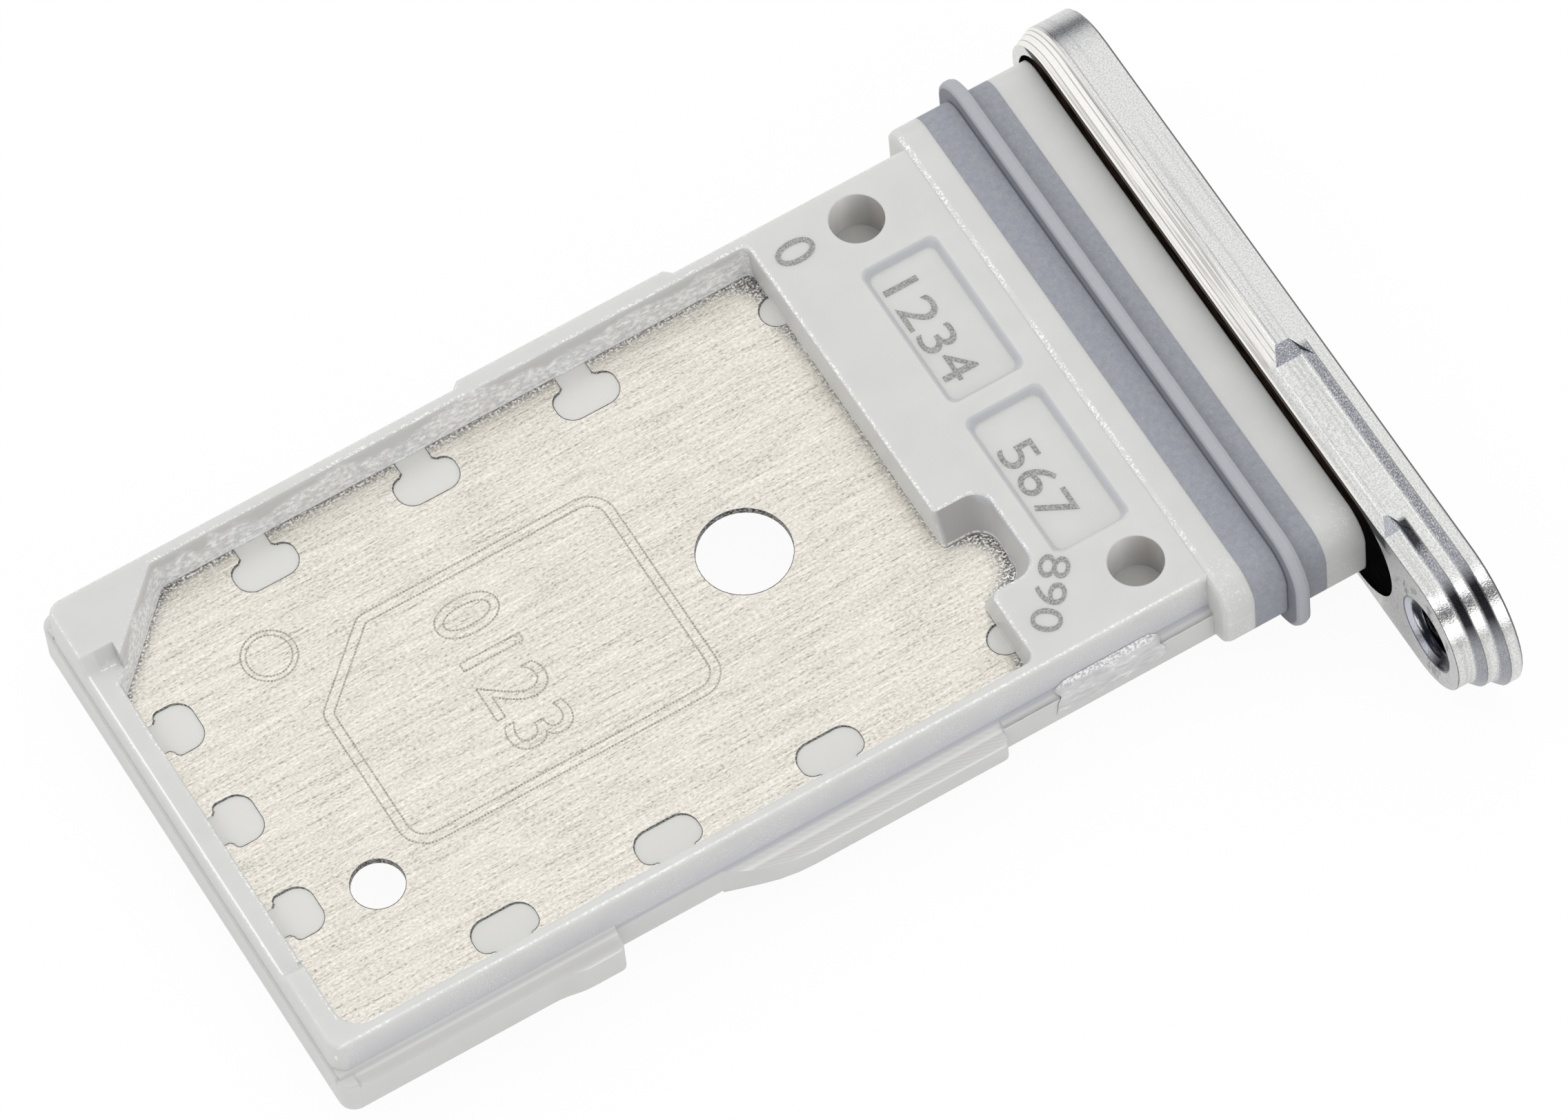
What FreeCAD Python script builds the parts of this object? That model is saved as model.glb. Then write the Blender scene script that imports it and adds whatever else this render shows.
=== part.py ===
# SIM card tray for a phone: a plastic frame moulded around a thin steel plate, with a card
# pocket on each face, a sealing collar with a silicone lip, and a machined aluminium bezel.
# Frame: origin under the middle of the whole tray, +X towards the bezel, +Z out of the upper pocket.
# All sizes are in millimetres.
import FreeCAD
import Part
import math
import os
from FreeCAD import Vector

# Card plate
plate_thickness = 0.13
plate_side_grip = 0.18
plate_tip_grip = 0.25
plate_head_grip = 1.15
large_hole_radius = 0.80
large_hole_from_head = 2.74
small_hole_radius = 0.45
small_hole_from_tip = 1.75
small_hole_offset = 2.13

# Card pockets, one on each face of the plate
pocket_length = 12.51
pocket_width = 8.90
pocket_depth = 0.74
pocket_corner_cut = 1.47
pocket_corner_radius = 0.15
pocket_round_corner = 0.47
pocket_draft = 0.09
rim_radius = 0.07
rim_steps = 2

# Finger scoop at the head end of each pocket
scoop_reach = 0.90
scoop_width = 1.72
scoop_offset = 2.27
scoop_slope = 0.28
scoop_radius = 0.36
scoop_far_mouth_radius = 0.08
scoop_near_mouth_radius = 0.18

# Plastic pads that hold the plate's edges
pad_length = 1.14
pad_width = 0.62
pad_from_wall = 0.58
pad_neck = 0.58
pad_neck_chamfer = 0.06
side_pad_count = 3
side_pad_pitch = 3.00
side_pad_start = 3.07
tip_pad_length = 0.92
tip_pad_count = 3
tip_pad_pitch = 1.97
tip_pad_from_wall = 0.47
tip_pad_offset = 0.07
head_pad_radius = 0.31
head_pad_offset = 3.62

# Frame walls
side_wall = 0.32
tip_wall = 0.48
wall_corner_radius = 0.28
wall_edge_radius = 0.08
low_wall_drop = 0.32
low_wall_from_far_side = 1.36
low_wall_length = 6.38
low_wall_ramp = 0.20
low_wall_bend_radius = 0.13
far_bulge_start = 7.12
far_bulge_length = 4.14
far_bulge_proud = 0.12
far_bulge_ramp = 0.13

# Rails on the lower half of both long sides
rail_proud = 0.34
rail_start = 6.54
rail_length = 5.15
rail_ramp = 1.04
rail_bend_radius = 3.00
rail_top_drop = 0.20
rail_slope_drop = 0.22
rail_hollow = 0.03
rail_root_rise = 0.07
rail_root_radius = 0.15
rail_edge_radius = 0.05
rail_end_radius = 0.12
front_rail_proud = 0.28
front_rail_length = 5.06
front_rail_heel_proud = 0.08
front_rail_heel_length = 0.80
front_rail_heel_ramp = 0.35
front_rail_top_drop = 0.10
front_rail_slope_drop = 0.10
foot_proud = 0.16
tip_skirt_proud = 0.05

# Head between the pockets and the collar
head_length = 3.10
locating_hole_radius = 0.467
locating_hole_depth = 0.95
far_hole_from_pocket = 1.79
far_hole_offset = 4.02
near_hole_from_pocket = 2.31
near_hole_offset = 3.89
label_recess_depth = 0.16
label_recess_slope = 0.12
label_recess_lip = 0.04
label_recess_roll = 0.05
label_recess_length = 2.98
label_recess_width = 1.46
label_recess_radius = 0.16
label_recess_from_pocket = 2.00
label_recess_pitch = 3.30

# Sealing collar and the spigot behind it
collar_length = 2.62
collar_width = 10.70
collar_height = 1.70
collar_corner_radius = 0.52
collar_edge_radius = 0.12
spigot_inset = 0.38
spigot_depth = 0.24

# Silicone seal in the collar's groove
seal_width = 1.34
seal_setback = 0.54
seal_depth = 0.28
lip_height = 0.31
lip_thickness = 0.26
lip_tip_radius = 0.09
lip_from_seal_edge = 0.62

# Aluminium bezel
bezel_thickness = 1.03
bezel_length = 14.30
bezel_height = 3.06
bezel_bevel_run = 0.32
bezel_bevel_rise = 0.33
bezel_bevel_far_rise = 0.13
bezel_front_edge = 0.04
tray_offset = 1.34
tray_drop = 0.13
recess_depth = 0.25
recess_rim = 0.12
recess_far_margin = 0.13
recess_near_margin = 0.80

# Stepped cuts along the bezel's near end
first_cut_from_end = 5.90
second_cut_from_end = 2.36
cut_step = 0.16
cut_ramp = 0.30
cut_corner_length = 0.49
cut_corner_width = 0.21
first_ledge = 0.63
second_ledge = 0.285
cut_wall_run = 0.155

# Ejector pin hole through the bezel
pin_hole_radius = 0.47
pin_hole_from_end = 1.30
pin_mouth_radius = 0.69
pin_mouth_depth = 0.20

# Gasket that fills the recess behind the collar
gasket_edge_radius = 0.07

# Places worked out from the sizes above
overall_length = (tip_skirt_proud + tip_wall + pocket_length + head_length
                  + collar_length + bezel_thickness)
tip_x = tip_skirt_proud - overall_length / 2
pocket_x = tip_x + tip_wall
head_x = pocket_x + pocket_length
collar_x = head_x + head_length
bezel_x = collar_x + collar_length
front_x = bezel_x + bezel_thickness
tray_y = tray_offset
plate_z = bezel_height / 2 - tray_drop
wall_top = plate_z + plate_thickness / 2 + pocket_depth
wall_bottom = plate_z - plate_thickness / 2 - pocket_depth
body_half_width = pocket_width / 2 + side_wall
near_end_y = -bezel_length / 2
seal_x = collar_x + seal_setback


def rounded_outline(corners, place):
    """Closed wire through corners given as (u, v, radius), with a tangent arc at each corner."""
    points = [Vector(u, v, 0) for u, v, radius in corners]
    starts = []
    middles = []
    ends = []
    for i, point in enumerate(points):
        radius = corners[i][2]
        to_last = (points[i - 1] - point).normalize()
        to_next = (points[(i + 1) % len(points)] - point).normalize()
        half_angle = to_last.getAngle(to_next) / 2
        reach = radius / math.tan(half_angle)
        to_arc = radius / math.sin(half_angle) - radius
        starts.append(point + to_last * reach)
        ends.append(point + to_next * reach)
        middles.append(point + (to_last + to_next) * (to_arc / (2 * math.cos(half_angle))))
    edges = []
    for i in range(len(points)):
        if corners[i][2] > 0:
            arc = Part.Arc(place(starts[i]), place(middles[i]), place(ends[i]))
            edges.append(arc.toShape())
        following = starts[(i + 1) % len(points)]
        if (following - ends[i]).Length > 1e-4:
            edges.append(Part.LineSegment(place(ends[i]), place(following)).toShape())
    return Part.Wire(edges)


def plan_wire(corners, z):
    """Rounded outline seen from above, at height z."""
    return rounded_outline(corners, lambda p: Vector(p.x, p.y, z))


def section_wire(corners, x):
    """Rounded outline seen along the tray, in the plane at x."""
    return rounded_outline(corners, lambda p: Vector(x, p.x, p.y))


def plan_prism(corners, z_low, z_high):
    """Upright prism between two heights."""
    return Part.Face(plan_wire(corners, z_low)).extrude(Vector(0, 0, z_high - z_low))


def section_prism(corners, x_low, x_high):
    """Prism lying along the tray between two stations."""
    return Part.Face(section_wire(corners, x_low)).extrude(Vector(x_high - x_low, 0, 0))


def rectangle(u_low, u_high, v_low, v_high, radius=0.0):
    """Corners of a rectangle with one corner radius."""
    return [(u_low, v_low, radius), (u_high, v_low, radius),
            (u_high, v_high, radius), (u_low, v_high, radius)]


def box(x_low, x_high, y_low, y_high, z_low, z_high):
    """Plain block between two corners."""
    return Part.makeBox(x_high - x_low, y_high - y_low, z_high - z_low, Vector(x_low, y_low, z_low))


def upright_cylinder(x, y, radius, z_low, z_high):
    """Round bar standing between two heights."""
    return Part.makeCylinder(radius, z_high - z_low, Vector(x, y, z_low))


def turned_over(shape):
    """The same shape turned half round the tray's long centre line."""
    return shape.copy().rotate(Vector(0, tray_y, plate_z), Vector(1, 0, 0), 180)


def rolled_end(corners_at, x, radius, direction):
    """Outlines that roll the edge of a lying prism's end face over; with no radius it stays sharp."""
    if radius == 0:
        return [section_wire(corners_at(0), x)]
    wires = []
    for i in range(rim_steps + 1):
        angle = math.pi / 2 * i / rim_steps
        wires.append(section_wire(corners_at(radius * (math.sin(angle) - 1)),
                                  x + direction * radius * (1 - math.cos(angle))))
    return wires


def soft_prism(corners_at, x_low, x_high, low_radius, high_radius):
    """Prism lying along the tray with the edges of its two ends rolled over."""
    low_end = rolled_end(corners_at, x_low, low_radius, 1)
    high_end = rolled_end(corners_at, x_high, high_radius, -1)
    return Part.makeLoft(low_end + high_end[::-1], True, True)


def mirrored_side(shape):
    """The same shape on the tray's other long side."""
    return shape.mirror(Vector(0, tray_y, 0), Vector(0, 1, 0))


def rim_wires(outline_at, top, draft, slope):
    """Outlines that roll a cutter's walls over into a rounded rim below the given height."""
    wires = []
    for i in range(rim_steps + 1):
        angle = math.pi / 2 * i / rim_steps
        roll = rim_radius * (1 - math.cos(angle))
        height = top - rim_radius * (1 - math.sin(angle))
        wires.append(plan_wire(outline_at(draft + roll, slope + roll), height))
    return wires


def pocket_corners(growth, slope):
    """Plan of a card pocket and its scoop, grown by the walls' draft and the scoop's slope. The head's
    wall has no draft."""
    near = tray_y - pocket_width / 2 - growth
    far = tray_y + pocket_width / 2 + growth
    left = pocket_x - growth
    right = head_x + max(growth - pocket_draft, 0)
    scoop_end = head_x + scoop_reach + growth - pocket_draft
    scoop_near = tray_y - scoop_offset - scoop_width / 2 + scoop_slope - slope
    scoop_far = tray_y - scoop_offset + scoop_width / 2 - scoop_slope + slope
    return [(left, near, pocket_round_corner), (right, near, pocket_corner_radius),
            (right, scoop_near, scoop_near_mouth_radius), (scoop_end, scoop_near, scoop_radius),
            (scoop_end, scoop_far, scoop_radius), (right, scoop_far, scoop_far_mouth_radius),
            (right, far, pocket_corner_radius), (left + pocket_corner_cut, far, pocket_corner_radius),
            (left, far - pocket_corner_cut, pocket_corner_radius)]


def card_pocket():
    """Space for one card and the scoop that it is pushed out by, above the plate."""
    floor = plan_wire(pocket_corners(0, 0), plate_z + plate_thickness / 2)
    return Part.makeLoft([floor] + rim_wires(pocket_corners, wall_top, pocket_draft, scoop_slope),
                         True, True)


def pad(length, width, from_wall, reach_back):
    """Mushroom pad seen from above: its head lies along u and its neck runs back past the wall at v = 0."""
    near = from_wall - width / 2
    far = from_wall + width / 2
    half = length / 2
    half_neck = pad_neck / 2
    toe = width / 2
    shoulder = half_neck + pad_neck_chamfer
    heel = min(half - shoulder, toe)
    corners = [(-half_neck, -reach_back, 0), (half_neck, -reach_back, 0),
               (half_neck, near - pad_neck_chamfer, 0), (shoulder, near, 0), (half, near, heel),
               (half, far, toe), (-half, far, toe), (-half, near, heel), (-shoulder, near, 0),
               (-half_neck, near - pad_neck_chamfer, 0)]
    return plan_prism(corners, plate_z - plate_thickness / 2, plate_z + plate_thickness / 2)


def plate_pads():
    """All the plastic pads that fill notches in the plate's edges."""
    pads = []
    side = pad(pad_length, pad_width, pad_from_wall, plate_side_grip)
    for i in range(side_pad_count):
        near = side.copy()
        near.translate(Vector(pocket_x + side_pad_start + i * side_pad_pitch, tray_y - pocket_width / 2, 0))
        pads.append(near)
        pads.append(mirrored_side(near))
    tip = pad(tip_pad_length, pad_width, tip_pad_from_wall, plate_tip_grip)
    tip.rotate(Vector(0, 0, 0), Vector(0, 0, 1), -90)
    for i in range(tip_pad_count):
        one = tip.copy()
        from_middle = tip_pad_offset + (i - (tip_pad_count - 1) / 2) * tip_pad_pitch
        one.translate(Vector(pocket_x, tray_y + from_middle, 0))
        pads.append(one)
    low = plate_z - plate_thickness / 2
    high = plate_z + plate_thickness / 2
    for side_sign in (-1, 1):
        y = tray_y + side_sign * head_pad_offset
        pads.append(upright_cylinder(head_x, y, head_pad_radius, low, high))
    return pads[0].multiFuse(pads[1:])


def plate_blank():
    """The plate's outline with its edge notches, before its holes are punched."""
    outline = rectangle(pocket_x - plate_tip_grip, head_x + plate_head_grip,
                        tray_y - pocket_width / 2 - plate_side_grip,
                        tray_y + pocket_width / 2 + plate_side_grip, pocket_corner_radius)
    sheet = plan_prism(outline, plate_z - plate_thickness / 2, plate_z + plate_thickness / 2)
    return sheet.cut(plate_pads())


def card_plate():
    """Stamped plate with its notches and its two round holes."""
    low = plate_z - plate_thickness
    high = plate_z + plate_thickness
    large = upright_cylinder(head_x - large_hole_from_head, tray_y, large_hole_radius, low, high)
    small = upright_cylinder(pocket_x + small_hole_from_tip, tray_y - small_hole_offset,
                             small_hole_radius, low, high)
    return plate_blank().cut(large).cut(small)


def low_wall_cut():
    """Space above the lower stretch of the tip wall, with soft ramps at its ends."""
    far = tray_y + body_half_width - low_wall_from_far_side
    near = far - low_wall_length
    level = wall_top - low_wall_drop
    above = wall_top + low_wall_drop
    run = low_wall_ramp * 2
    corners = [(near, level, low_wall_bend_radius), (far, level, low_wall_bend_radius),
               (far + run, above, 0), (near - run, above, 0)]
    return section_prism(corners, tip_x - tip_skirt_proud, pocket_x + pocket_corner_radius)


def wall_block():
    """Solid block of the frame from its tip into the collar, with its outer edges rounded."""
    outline = rectangle(tip_x, collar_x + collar_length / 2, tray_y - body_half_width,
                        tray_y + body_half_width, wall_corner_radius)
    block = plan_prism(outline, wall_bottom, wall_top).cut(low_wall_cut())
    near_side = tray_y - body_half_width + 1e-6
    far_side = tray_y + body_half_width - 1e-6
    edges = []
    for edge in block.Edges:
        upright = edge.BoundBox.XLength < 1e-6 and edge.BoundBox.YLength < 1e-6
        outside = all(v.X < tip_x + 1e-6 or v.Y < near_side or v.Y > far_side for v in edge.Vertexes)
        if outside and not upright:
            edges.append(edge)
    return block.makeFillet(wall_edge_radius, edges)


def far_bulge():
    """Slightly proud stretch of the far wall."""
    start = pocket_x + far_bulge_start
    end = start + far_bulge_length
    wall = tray_y + body_half_width
    low_corners = [(start, wall - side_wall / 2, 0), (end, wall - side_wall / 2, 0), (end, wall, 0),
                   (end - far_bulge_ramp, wall + far_bulge_proud, 0),
                   (start + far_bulge_ramp, wall + far_bulge_proud, 0), (start, wall, 0)]
    bulge = plan_prism(low_corners, wall_bottom + wall_edge_radius, wall_top)
    edges = [e for e in bulge.Edges
             if e.BoundBox.ZMin > wall_top - 1e-6 and e.BoundBox.YMax > wall + 1e-6]
    return bulge.makeFillet(wall_edge_radius, edges)


def sloped_top(x_low, x_high, proud, top_drop, slope_drop):
    """Everything under a rail's hollow, sloped upper face on the near side."""
    wall = tray_y - body_half_width
    root = plate_z + plate_thickness / 2 - top_drop
    foot = root - slope_drop
    hollow = (root + foot) / 2 - rail_hollow
    corners = [(wall + side_wall / 2, wall_bottom, 0), (wall + side_wall / 2, root + rail_root_rise, 0),
               (wall, root + rail_root_rise, 0), (wall - proud / 3, hollow, rail_root_radius),
               (wall - proud, foot, rail_edge_radius), (wall - proud, wall_bottom, 0)]
    return section_prism(corners, x_low, x_high)


def middle_rail():
    """Rail with a lead-in ramp beside the middle of the pocket."""
    wall = tray_y - body_half_width
    start = pocket_x + rail_start
    end = start + rail_length
    plan = [(start, wall + side_wall / 2, 0), (start, wall, 0),
            (start + rail_ramp, wall - rail_proud, rail_bend_radius),
            (end, wall - rail_proud, rail_end_radius), (end, wall + side_wall / 2, 0)]
    prism = plan_prism(plan, wall_bottom, wall_top)
    return prism.common(sloped_top(start, end, rail_proud, rail_top_drop, rail_slope_drop))


def front_rail():
    """Rail beside the tip, which leads the tray into its slot, with a prouder heel at its end."""
    wall = tray_y - body_half_width
    end = tip_x + front_rail_length
    heel = end - front_rail_heel_length
    heel_proud = front_rail_proud + front_rail_heel_proud
    plan = [(tip_x, wall + side_wall, 0), (tip_x, wall - front_rail_proud, wall_corner_radius),
            (heel - front_rail_heel_ramp, wall - front_rail_proud, rail_bend_radius / 2),
            (heel, wall - heel_proud, rail_bend_radius / 2), (end, wall - heel_proud, rail_end_radius),
            (end, wall + side_wall, 0)]
    prism = plan_prism(plan, wall_bottom, wall_top)
    return prism.common(sloped_top(tip_x, end, heel_proud, front_rail_top_drop, front_rail_slope_drop))


def side_foot():
    """Narrow foot from the middle rail to the collar."""
    wall = tray_y - body_half_width
    start = pocket_x + rail_start + rail_length
    return sloped_top(start, collar_x + collar_edge_radius * 2, foot_proud, rail_top_drop, 0)


def tip_skirt():
    """Lower half of the tip wall, which stands slightly proud."""
    low = tray_y - body_half_width - front_rail_proud
    high = tray_y + body_half_width + front_rail_proud
    level = plate_z + plate_thickness / 2 - front_rail_top_drop
    plan = [(tip_x - tip_skirt_proud, low, wall_corner_radius), (tip_x + tip_wall / 2, low, 0),
            (tip_x + tip_wall / 2, high, 0), (tip_x - tip_skirt_proud, high, wall_corner_radius)]
    return plan_prism(plan, wall_bottom, level)


def low_wall_rim():
    """Rounded inner rim of the lower stretch of the tip wall."""
    share = (pocket_depth - low_wall_drop - rim_radius) / (pocket_depth - rim_radius)
    level = wall_top - low_wall_drop
    ring = Part.makeLoft(rim_wires(pocket_corners, level, pocket_draft * share, scoop_slope * share),
                         True, True)
    far = tray_y + body_half_width - low_wall_from_far_side
    return ring.common(box(tip_x, pocket_x + pocket_corner_cut / 2, far - low_wall_length, far,
                           level - rim_radius, level))


def collar_corners(growth):
    """Section of the collar, grown outwards."""
    return rectangle(tray_y - collar_width / 2 - growth, tray_y + collar_width / 2 + growth,
                     plate_z - collar_height / 2 - growth, plate_z + collar_height / 2 + growth,
                     collar_corner_radius + growth)


def collar():
    """Sealing collar with a rounded front edge, and the spigot behind it."""
    block = soft_prism(collar_corners, collar_x, bezel_x, collar_edge_radius, 0)
    spigot = section_prism(collar_corners(-spigot_inset), bezel_x - spigot_inset,
                           bezel_x + recess_depth + spigot_depth)
    return block.fuse(spigot)


def seal_groove():
    """Space round the collar that the seal fills."""
    outer = section_prism(collar_corners(seal_depth), seal_x, seal_x + seal_width)
    core = section_prism(collar_corners(-seal_depth), seal_x, seal_x + seal_width)
    return outer.cut(core)


def label_recess():
    """Shallow recess with soft walls, on the tray's centre line."""
    x = head_x + label_recess_from_pocket
    half_width = label_recess_width / 2
    half_length = label_recess_length / 2
    levels = [(label_recess_slope, label_recess_depth), (label_recess_roll, label_recess_lip), (0, 0)]
    wires = []
    for inset, depth in levels:
        outline = rectangle(x - half_width + inset, x + half_width - inset,
                            tray_y - half_length + inset, tray_y + half_length - inset,
                            label_recess_radius)
        wires.append(plan_wire(outline, wall_top - depth))
    return Part.makeLoft(wires, True, True)


def head_details():
    """Locating holes and label recesses sunk in the head's upper face."""
    cuts = []
    holes = [(far_hole_from_pocket, far_hole_offset), (near_hole_from_pocket, -near_hole_offset)]
    for from_pocket, offset in holes:
        cuts.append(upright_cylinder(head_x + from_pocket, tray_y + offset, locating_hole_radius,
                                     wall_top - locating_hole_depth, wall_top + locating_hole_depth))
    for side_sign in (-1, 1):
        recess = label_recess()
        recess.translate(Vector(0, side_sign * label_recess_pitch / 2, 0))
        cuts.append(recess)
    return cuts


def tray_body():
    """The whole moulded frame with its pockets, rails, head and collar."""
    rails = [middle_rail(), front_rail(), side_foot()]
    rails = rails + [mirrored_side(rail) for rail in rails]
    frame = wall_block().multiFuse(rails + [far_bulge(), tip_skirt()])
    frame = frame.fuse(collar())
    pocket = card_pocket()
    cuts = [pocket, turned_over(pocket), low_wall_rim(), plate_blank(), seal_groove()] + head_details()
    for cut in cuts:
        frame = frame.cut(cut)
    return frame.removeSplitter()


def seal_ring():
    """Silicone band flush with the collar, with one lip that wipes the slot."""
    band = section_prism(collar_corners(0), seal_x, seal_x + seal_width)
    lip_x = seal_x + lip_from_seal_edge
    lip = soft_prism(lambda growth: collar_corners(lip_height + growth), lip_x, lip_x + lip_thickness,
                     lip_tip_radius, lip_tip_radius)
    core = section_prism(collar_corners(-seal_depth), seal_x, seal_x + seal_width)
    return band.fuse(lip).cut(core).removeSplitter()


def stadium(inset):
    """Section of the bezel with full round ends, set in from its outline."""
    return rectangle(-bezel_length / 2 + inset, bezel_length / 2 - inset, inset, bezel_height - inset,
                     bezel_height / 2 - inset)


def back_face():
    """Outline of the bezel's flat back, where the bevel is steeper at the far end."""
    return rectangle(-bezel_length / 2 + bezel_bevel_rise, bezel_length / 2 - bezel_bevel_far_rise,
                     bezel_bevel_rise, bezel_height - bezel_bevel_rise,
                     bezel_height / 2 - bezel_bevel_rise)


def taper(corners_low, x_low, corners_high, x_high):
    """Tapered stretch of the bezel between two outlines."""
    return Part.makeLoft([section_wire(corners_low, x_low), section_wire(corners_high, x_high)],
                         True, True)


def bezel_blank():
    """Bezel with its bevelled back edge and broken front edge, before the cuts."""
    pieces = [taper(back_face(), bezel_x, stadium(0), bezel_x + bezel_bevel_run),
              section_prism(stadium(0), bezel_x + bezel_bevel_run, front_x - bezel_front_edge),
              taper(stadium(0), front_x - bezel_front_edge, stadium(bezel_front_edge), front_x)]
    return pieces[0].multiFuse(pieces[1:]).removeSplitter()


def stepped_cut(from_end, ledge, inset_low, inset_high):
    """Metal milled off round the near end, down a ramp to one ledge and the sloped wall behind it."""
    start = near_end_y + from_end
    low = -bezel_height
    high = bezel_height * 2
    outer = near_end_y - bezel_height
    behind = bezel_x - cut_ramp
    wall_end = bezel_x + ledge + cut_wall_run
    ramp_top = start + cut_corner_length
    ramp_foot = ramp_top - cut_ramp
    plan = [(behind, outer, 0), (wall_end, outer, 0), (wall_end, start, 0),
            (wall_end - cut_corner_width, ramp_top, 0), (behind, ramp_top, 0)]
    region = plan_prism(plan, low, high)
    kept = section_prism(stadium(inset_low), behind - cut_ramp, bezel_x + ledge)
    rise = taper(stadium(inset_low), bezel_x + ledge, stadium(inset_high), wall_end)
    ramp = [(ramp_foot, inset_low, 0), (ramp_top, inset_high, 0),
            (ramp_top, bezel_height - inset_high, 0), (ramp_foot, bezel_height - inset_low, 0)]
    return region.cut([kept, rise, section_prism(ramp, behind - cut_ramp, wall_end)])


def recess_corners(growth):
    """Outline of the gasket recess, which reaches past the collar and further at the near end."""
    inset = bezel_bevel_rise + recess_rim - growth
    return rectangle(tray_y - collar_width / 2 - recess_near_margin - growth,
                     tray_y + collar_width / 2 + recess_far_margin + growth,
                     inset, bezel_height - inset, bezel_height / 2 - inset)


def pin_hole():
    """Ejector pin hole with its flared mouth on the back face."""
    y = near_end_y + pin_hole_from_end
    middle = Vector(bezel_x, y, bezel_height / 2)
    bore = Part.makeCylinder(pin_hole_radius, bezel_thickness, middle, Vector(1, 0, 0))
    mouth = Part.makeCone(pin_mouth_radius, pin_hole_radius, pin_mouth_depth, middle, Vector(1, 0, 0))
    return bore.fuse(mouth)


def front_bezel():
    """Machined bezel with its stepped near end, gasket recess, spigot socket and pin hole."""
    bezel = bezel_blank()
    bezel = bezel.cut(stepped_cut(first_cut_from_end, first_ledge, cut_step, 0))
    bezel = bezel.cut(stepped_cut(second_cut_from_end, second_ledge, cut_step * 2, cut_step))
    bezel = bezel.cut(section_prism(recess_corners(0), bezel_x, bezel_x + recess_depth))
    bezel = bezel.cut(section_prism(collar_corners(-spigot_inset), bezel_x,
                                    bezel_x + recess_depth + spigot_depth))
    return bezel.cut(pin_hole())


def bezel_gasket():
    """Gasket that fills the recess round the spigot, with a soft outer edge."""
    floor = bezel_x + recess_depth
    sheet = soft_prism(recess_corners, bezel_x, floor, gasket_edge_radius, 0)
    hole = section_prism(collar_corners(-spigot_inset), bezel_x, floor)
    return sheet.cut(hole)


def export(name, shape):
    """Write one piece and print what it holds."""
    shape.exportStep("parts/" + name + ".step")
    print(name, "valid", shape.isValid(), "solids", len(shape.Solids), "faces", len(shape.Faces),
          "volume", round(shape.Volume, 3))


os.makedirs("parts", exist_ok=True)
export("tray_body", tray_body())
export("card_plate", card_plate())
export("seal_ring", seal_ring())
export("front_bezel", front_bezel())
export("bezel_gasket", bezel_gasket())
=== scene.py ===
# Looks of a SIM card tray: white moulded frame, brushed plate, silicone seal and blasted metal bezel.
# The frame's origin is under the middle of the tray, +X towards the bezel, +Z out of the upper pocket.
import math

import bpy
from mathutils import Matrix, Vector


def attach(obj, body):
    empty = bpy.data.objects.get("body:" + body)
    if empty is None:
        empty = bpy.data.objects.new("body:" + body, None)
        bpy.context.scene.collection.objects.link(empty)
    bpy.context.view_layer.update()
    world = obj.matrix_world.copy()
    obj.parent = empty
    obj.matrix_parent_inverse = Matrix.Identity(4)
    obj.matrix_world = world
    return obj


MM = 0.001

# Camera, from the photograph's perspective
CAMERA_PLACE = (-39.95, -87.28, 171.54)
CAMERA_AZIMUTH = -24.847
CAMERA_ELEVATION = 60.268
CAMERA_ROLL = -6.455
CAMERA_LENS = 279.0
SENSOR_WIDTH = 36.0

# Light levels
WORLD_DIFFUSE = 0.76
FLOOR_GLOW = 0.94
FLOOR_GLOSS = 0.55
LIGHT_DISTANCE = 400

# Heights and edges of the tray that the finishes follow, in millimetres
PLATE_TOP = 1.465
WALL_TOP = 2.205
MIDDLE_Y = 1.34
POCKET_TIP = -9.365
POCKET_HEAD = 3.145
POCKET_HALF = 4.45
LOW_WALL_TOP = 1.885
LOW_WALL_GLINT = -9.775
NEAR_WALL_GLINT = -3.375
NEAR_WALL_FACE = -3.43
NEAR_CORNERS = -3.20
RAIL_ROOT = 1.335
RAIL_START = -2.825
RAIL_END = 2.325
RIPPLE_PITCH = 0.052
RIPPLE_SLANT = 0.27
LABEL_FLOOR = 2.045
LABEL_AREA = (3.9, 5.95, -1.7, 4.5)
LOCATING_HOLES = [(4.935, 5.36), (5.455, -2.55)]
COLLAR_START = 6.245
COLLAR_TOP = 2.25
SEAL_LIP = (7.405, 7.665)
BEZEL_BACK = 8.865
BEZEL_FRONT = 9.895
BEVEL_RUN = 0.32
BEVEL_LINES = (0.09, 0.19, 0.26, 0.37)
FIRST_WALL = (0.63, 0.785)
FIRST_CUT_Y = -0.95
SECOND_WALL = (0.285, 0.44)
SECOND_CUT_Y = -4.50
BEZEL_BEND_Y = -5.62
PIN_HOLE = (-5.85, 1.53)
PIN_MOUTH = 0.69
PIN_MOUTH_PALE = 0.085
PLATE_HOLES = [((0.405, 1.34), 0.80), ((-7.615, -0.79), 0.45)]

# Fine dark lines where the plate meets the plastic, and round its holes
SEAM_LIFT = 0.003
SEAM_WIDTH = 0.011
SEAM_SHADE_WIDTH = 0.030

# Laser marks on the plate
MARK_LIFT = 0.004
MARK_LINE = 0.029
MARK_DASH = 0.042
MARK_GAP = 0.014
MARK_SPACING = 0.17
OUTLINE_CORNERS = [(-6.86, -0.62, 0.50), (-0.97, -0.62, 0.50), (-0.97, 3.64, 0.50), (-5.50, 3.64, 0.30),
                   (-6.86, 2.36, 0.30)]
RING_PLACE = (-7.05, 3.77)
RING_RADIUS = 0.47
RING_INNER_RADIUS = 0.38
ARC_STEPS = 10

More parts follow.
